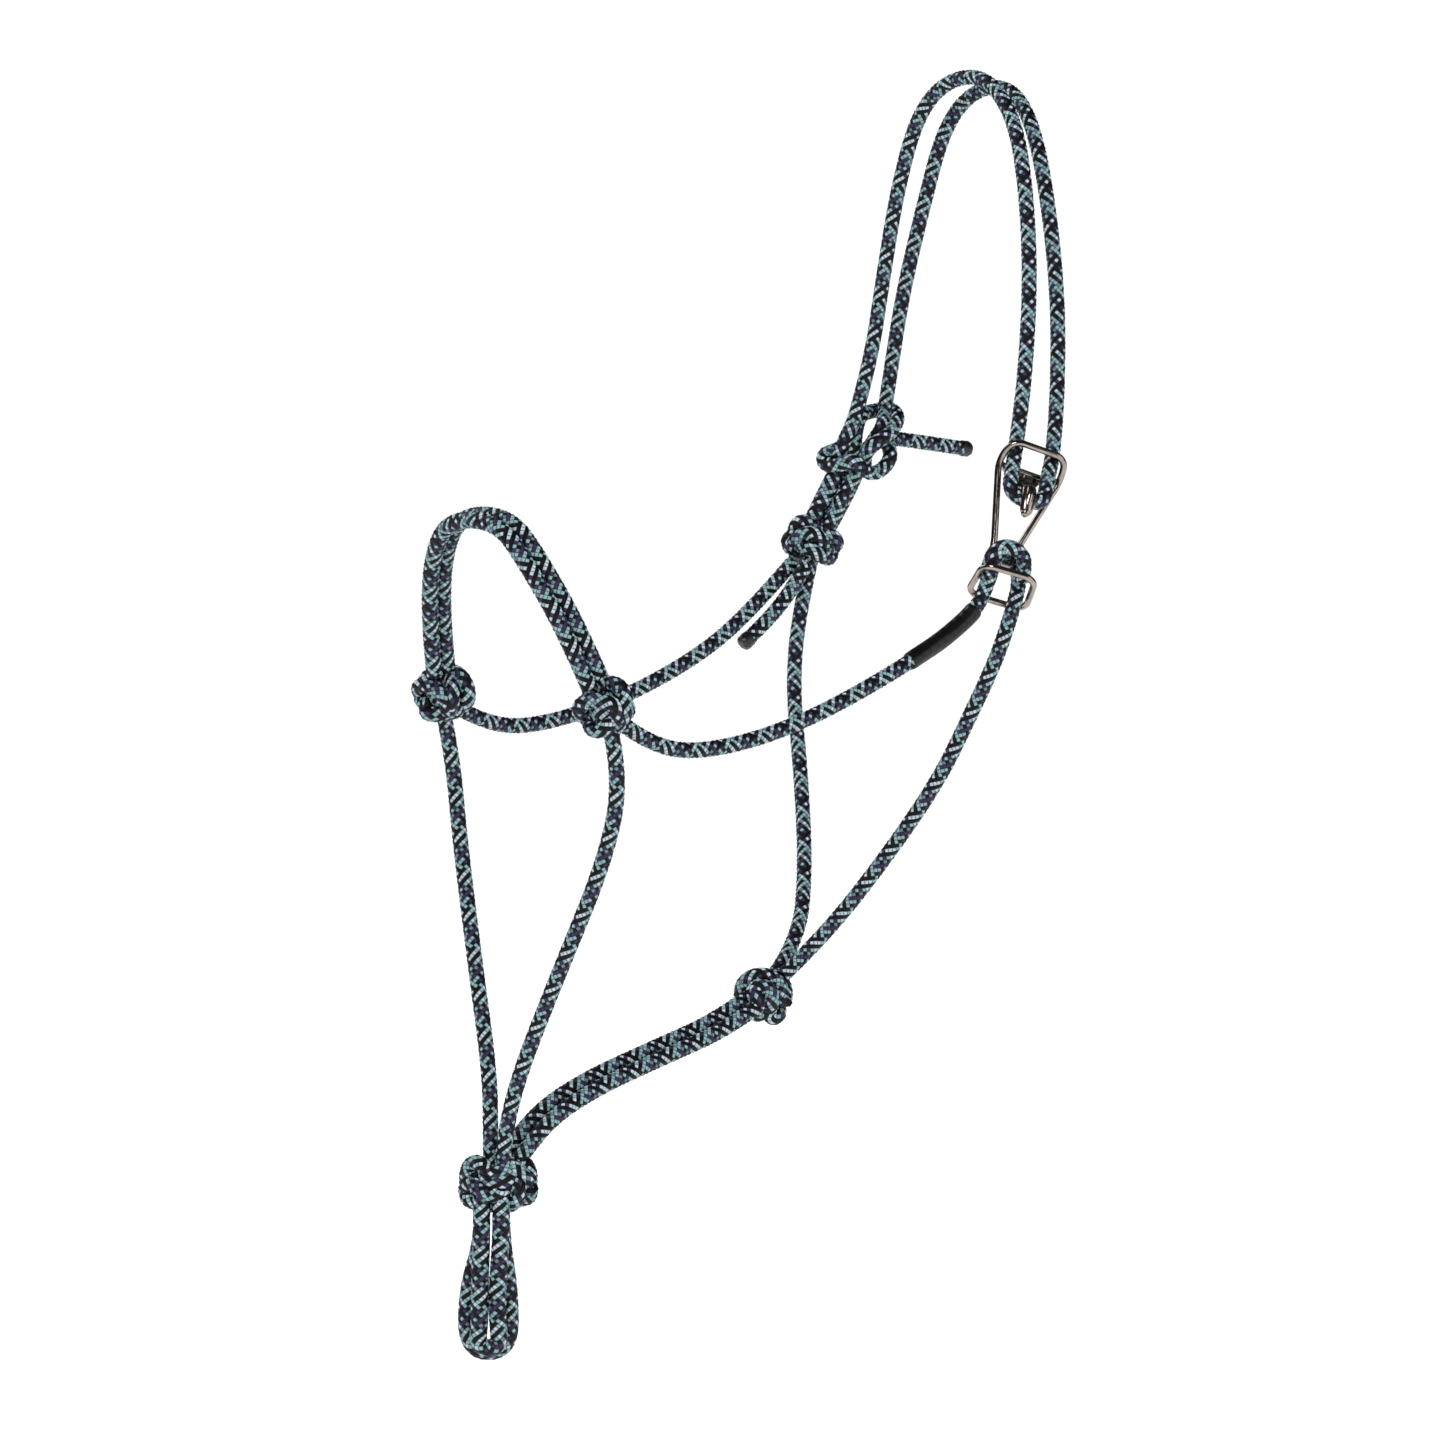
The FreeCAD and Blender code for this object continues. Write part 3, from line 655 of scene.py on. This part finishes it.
# ---- knots: turns of the same rope round a small core, given as seen from the near front
knots = {
    "near_nose_knot": {"at": nearNose, "core": (7, 8, 7.5), "turns": [
        [(-3.3, 10.5, -3), (2.8, 11, 2.5), (7.7, 8, 5), (9, 1.8, 6), (8.5, -3.3, 5), (4.9, -6.4, 1),
         (0.8, -6.4, -5)],
        [(-8, -4.4, -5), (-11.3, -2.8, -1), (-11, 0.8, 3), (-7.5, 3, 6.5), (-1.3, 2.6, 8.2), (3.6, 1.3, 8.7),
         (5.9, -2.8, 7), (4.4, -6.9, 2), (0.8, -8, -4)],
        [(-7, -5, -4), (-6.7, -9, 0), (-3.3, -10.2, 4), (0.8, -8.7, 4.5), (3.9, -4.4, 3)]]},
    "off_nose_knot": {"at": offNose, "core": (7, 8, 7.5), "turns": [
        [(1.8, 9.5, -3), (6.4, 9.5, 3), (10.5, 4.4, 5), (11.8, -1.3, 4), (10.5, -5.4, 1), (6.4, -6.4, -4)],
        [(-10, -1, -4), (-11.6, 2.3, 1), (-7.5, 3.9, 6), (-2.3, 1.3, 8), (1.8, -2.8, 8.2), (2.8, -7.5, 5),
         (0.8, -10, -2)],
        [(-6.5, -4, -4), (-8, -8.5, 1), (-4.9, -10, 3), (-0.8, -9.5, 2), (2.3, -8, -3)],
        [(3.5, 8, 1), (5, 3.5, 6.5), (4.9, -1, 8.6), (4.4, -5, 7.5), (2.5, -9, 1)]]},
    "throat_knot": {"at": throat, "core": (8, 8.5, 8), "turns": [
        [(-10.5, -6, -4), (-11.3, -0.8, 1), (-9.5, 4.4, 3), (-4.9, 7.2, 4), (0.8, 7.4, 4), (5.9, 4.4, 3.5),
         (8, -0.8, 3), (7.5, -5.9, 0), (4.4, -8.5, -4)],
        [(-7.5, -6, 1), (-6, -0.8, 6), (-3.3, 2.6, 8), (0.8, 2.4, 8.6), (3.4, -1.3, 8), (3.4, -5.9, 6),
         (1.3, -9.5, 0)],
        [(-4.5, 3, 6), (-3.8, -1.5, 9.2), (-2.8, -5.9, 7.5), (-3.4, -9.5, 1)],
        [(0.8, -7.5, 2), (1.8, -12, 0.5), (5.4, -12.6, 0.5), (7, -9.2, -0.5), (5.4, -5.9, -4)]]},
    "chin_knot": {"at": chin, "core": (12, 10, 8), "turns": [
        [(-15, -3, -4), (-15.4, 3.4, 0), (-11.8, 8, 3), (-8, 6.7, 5), (-4.9, 3, 7), (-0.8, 3.4, 8), (3, 5.4, 5),
         (6.9, 6.4, -1)],
        [(1.8, 7.5, 0), (5.9, 6, 4), (9.5, 2.4, 5), (12.3, -1.3, 3), (12, -4.6, -3)],
        [(5, 2, 2), (8, -1, 6.5), (8.3, -5.9, 7), (6.4, -10.3, 4), (3.3, -12, -3)],
        [(-15, -5.5, -2), (-12.5, -1.3, 4), (-9.5, -3.9, 7), (-6, -6, 8.5), (-1.5, -6.7, 8.5), (2, -4.4, 6.5),
         (1, -0.5, 2)],
        [(-15.5, -4, -4), (-15.4, -8.5, 0), (-11.5, -10.3, 3), (-7, -10.8, 4), (-2.8, -11.2, 2.5),
         (1, -10.5, -3)]]},
    "off_cheek_knot": {"at": offCheek, "core": (8, 8, 7.5), "turns": [
        [(-10.5, -3.8, -3), (-8.5, 0, 5), (-3.3, 3.4, 7.8), (1.8, 2.6, 8.3), (5.9, -1.3, 7), (8, -5, 1)],
        [(-8.7, 2, -4), (-8, 7.5, 1), (-3.9, 9.2, 3.5), (0.5, 7.7, 4.5), (2.8, 3.4, 3)],
        [(-5.5, 4.2, -1), (-11, 1.5, 1), (-11.5, -2, 1), (-8, -4.4, -4)],
        [(3, 4.5, -1), (8, 2.6, 3), (11.6, 0.5, 3), (12, -2.4, 1), (8, -5, -3)],
        [(-6.5, -2, 3), (-2, -3.8, 8), (1.8, -5.9, 8), (5.9, -8.5, 4.5), (9, -8.7, 0), (9.5, -5.4, -4)]]},
    "tie_knot": {"at": tie, "core": None, "turns": [
        [(-2.5, 13.1, 6.5), (-4, 8.3, 6.5), (-6.2, 4, 6.5), (-8.1, -0.2, 5.5), (-9.5, -4.5, 4),
         (-10.4, -8.8, 1), (-10.9, -12.1, -2)],
        [(-6.2, 0.2, -2), (-10, -2.1, -1), (-13.8, -3.3, 0), (-17.3, -5, 1), (-17.3, -8.6, 3),
         (-14.2, -10.7, 5.5), (-9.5, -10.2, 8.5), (-5.2, -8.1, 9.5), (-1.9, -8.8, 9), (0.9, -11.6, 6.5),
         (4.3, -13.8, 3.5), (8.6, -13.3, 1), (12.3, -10.2, 0), (14.5, -6.4, -1), (14.5, -2.6, -3),
         (13.3, 0.2, -6), (14.2, 2.4, -9), (17.3, 3.2, -11)],
        [(2.4, -10.2, 0), (1.9, -6.4, 4), (3.8, -2.6, 6), (7.1, 0.2, 7), (10.4, 2.4, 6.5), (13.8, 5, 4),
         (16.9, 8.8, 0), (18.3, 13.1, -5), (16.6, 16.9, -11), (12.3, 18.2, -17.5), (7.6, 16.9, -16),
         (3.8, 15.9, -9), (0.6, 14, -3), (-1, 10.2, 0), (-2, 5.5, 1.5), (-2.5, 0.2, 2.5), (-2.9, -4.5, 2.5),
         (-4.3, -9.3, 1)],
        [(11.9, 15.3, -10), (11.8, 11.6, -4), (10.2, 7.4, 1), (7.8, 3.6, 1), (4.8, -0.7, -1),
         (0.9, -5.5, -4), (-2.9, -8.8, -5)]]}}


def inView(point):
    right, up, toward = point
    return viewRight * right + viewUp * up + back * toward


def ball(t):
    return np.sqrt(np.clip(1 - (2 * t - 1) ** 2, 0.02, 1))


for node, knot in knots.items():
    pieces = []
    for number, turn in enumerate(knot["turns"]):
        points = [knot["at"] + inView(p) for p in turn]
        pieces.append(braidedTube(node + str(number), splineLine("turn", points), start=number * 5 + 1))
        if knot["core"]:
            # the far side has the same turn, a little closer in
            far = [knot["at"] + inView((-r * 0.86, u * 0.9, -t * 0.9 - 0.5)) for r, u, t in turn]
            pieces.append(braidedTube(node + "far" + str(number), splineLine("turn", far),
                                      start=number * 3 + 2))
    if knot["core"]:
        # more of the same braid, drawn into a ball, fills the middle
        wide, deep, tall = knot["core"]
        line = np.array([knot["at"] * mm + Vector((0, 0, tall * mm * t)) for t in np.linspace(-1, 1, 9)])
        pieces.append(braidedTube(node + "core", line, thick=wide + deep, squeeze=ball,
                                  ends=rope["endsPerWay"] * 2))
    piece = joined(node + "_rope", pieces)
    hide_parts(node)
    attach(piece, "halter")
print("knots tied")


# ---- hook and keeper ring: the frame's own solids, merged and smoothed, with a fuller finger
finger = {"steps": 40, "share": [0, 0.1, 0.22, 0.36, 0.5, 0.7, 0.9, 1],
          "width": [22, 18, 12.5, 8.6, 7.4, 7.2, 6.2, 4.8], "depth": [2.4, 3.0, 4.0, 4.9, 5.2, 5.0, 4.6, 4.2]}


def fingerPiece():
    # a straight prong pulled up ring by ring, then laid along the finger's own line
    deselectAll()
    bpy.ops.mesh.primitive_circle_add(vertices=40, radius=1, fill_type="NGON")
    prong = bpy.context.object
    bpy.ops.object.mode_set(mode="EDIT")
    bpy.ops.mesh.select_all(action="SELECT")
    for _ in range(finger["steps"]):
        bpy.ops.mesh.extrude_region_move(TRANSFORM_OT_translate={"value": (0, 0, 1)})
    bpy.ops.mesh.select_all(action="SELECT")
    bpy.ops.mesh.normals_make_consistent(inside=False)
    bpy.ops.object.mode_set(mode="OBJECT")
    line = splineLine("finger", [atHook(0, 43.2, -5), atHook(0, 34.2, -5.0), atHook(0, 34.2, 12.8),
                                 atHook(0.3, 19.2, 12.6)])
    centre = evenly(line, finger["steps"] + 1)
    heading = np.gradient(centre, axis=0)
    heading /= np.linalg.norm(heading, axis=1)[:, None]
    for v in prong.data.vertices:
        row = min(int(round(v.co.z)), finger["steps"])
        t = row / finger["steps"]
        tip = math.sqrt(max(0.04, 1 - max(0, (t - 0.93) / 0.07) ** 2))
        wide = np.interp(t, finger["share"], finger["width"]) / 2 * tip
        deep = np.interp(t, finger["share"], finger["depth"]) / 2 * tip
        front = hookAcross.cross(Vector(heading[row])).normalized()
        v.co = Vector(centre[row]) + (hookAcross * v.co.x * wide + front * v.co.y * deep) * mm
    makeActive(prong)
    bpy.ops.object.mode_set(mode="EDIT")
    bpy.ops.mesh.select_all(action="SELECT")
    bpy.ops.mesh.normals_make_consistent(inside=False)
    bpy.ops.object.mode_set(mode="OBJECT")
    bpy.ops.object.shade_smooth_by_angle(angle=math.radians(50))
    prong.data.materials.append(metalLook)
    return prong


for node, body in (("crown_hook", "hook"), ("keeper_ring", "keeper")):
    copy = frame["nodes"][node].copy()
    copy.data = frame["nodes"][node].data.copy()
    copy.name = node + "_metal"
    bpy.context.collection.objects.link(copy)
    copy.parent = None
    copy.matrix_world = Matrix.Identity(4)
    makeActive(copy)
    bpy.ops.object.mode_set(mode="EDIT")
    bpy.ops.mesh.select_all(action="SELECT")
    bpy.ops.mesh.remove_doubles(threshold=0.002 * mm)
    bpy.ops.object.mode_set(mode="OBJECT")
    bpy.ops.object.shade_smooth_by_angle(angle=math.radians(42))
    copy.data.materials.clear()
    copy.data.materials.append(metalLook)
    if node == "crown_hook":
        copy = joined(node + "_metal", [copy, fingerPiece()])
    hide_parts(node)
    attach(copy, body)
print("metal made")


# ---- floor and lights
deselectAll()
bpy.ops.mesh.primitive_plane_add(size=60, location=(0, 0, -0.66))
floor = bpy.context.object
floor.name = "floor"
paper = Nodes("pale paper")
paper.shader.inputs["Base Color"].default_value = (0.99, 0.99, 0.99, 1)
paper.shader.inputs["Roughness"].default_value = 0.9
paper.shader.inputs["Specular IOR Level"].default_value = 0.1
floor.data.materials.append(paper.material)

# a dark dome that only reflections see, so that the metal has something to mirror
bpy.ops.mesh.primitive_uv_sphere_add(segments=48, ring_count=24, radius=5.5, location=(0, 0, 0))
dome = bpy.context.object
dome.name = "dome"
dome.visible_camera = False
dome.visible_diffuse = False
dome.visible_shadow = False
dome.visible_transmission = False
felt = Nodes("dark felt")
felt.shader.inputs["Base Color"].default_value = (0.02, 0.018, 0.016, 1)
felt.shader.inputs["Roughness"].default_value = 1.0
dome.data.materials.append(felt.material)

world = bpy.data.worlds.new("studio")
world.use_nodes = True
world.node_tree.nodes["Background"].inputs[0].default_value = (1, 1, 1, 1)
world.node_tree.nodes["Background"].inputs[1].default_value = 1.06
bpy.context.scene.world = world


def areaLight(name, place, size, power):
    data = bpy.data.lights.new(name, "AREA")
    data.shape = "DISK"
    data.size = size
    data.energy = power
    light = bpy.data.objects.new(name, data)
    bpy.context.collection.objects.link(light)
    aim = Vector((0, -0.15, -0.3))
    light.location = place
    light.rotation_euler = (Vector(place) - aim).to_track_quat("Z", "Y").to_euler()


areaLight("key", (1.6, -2.2, 1.6), 1.2, 36)
areaLight("fill", (2.4, 0.9, 0.3), 1.6, 12)
areaLight("rim", (-1.8, -0.6, 1.4), 1.2, 16)
bpy.context.scene.view_settings.view_transform = "Standard"
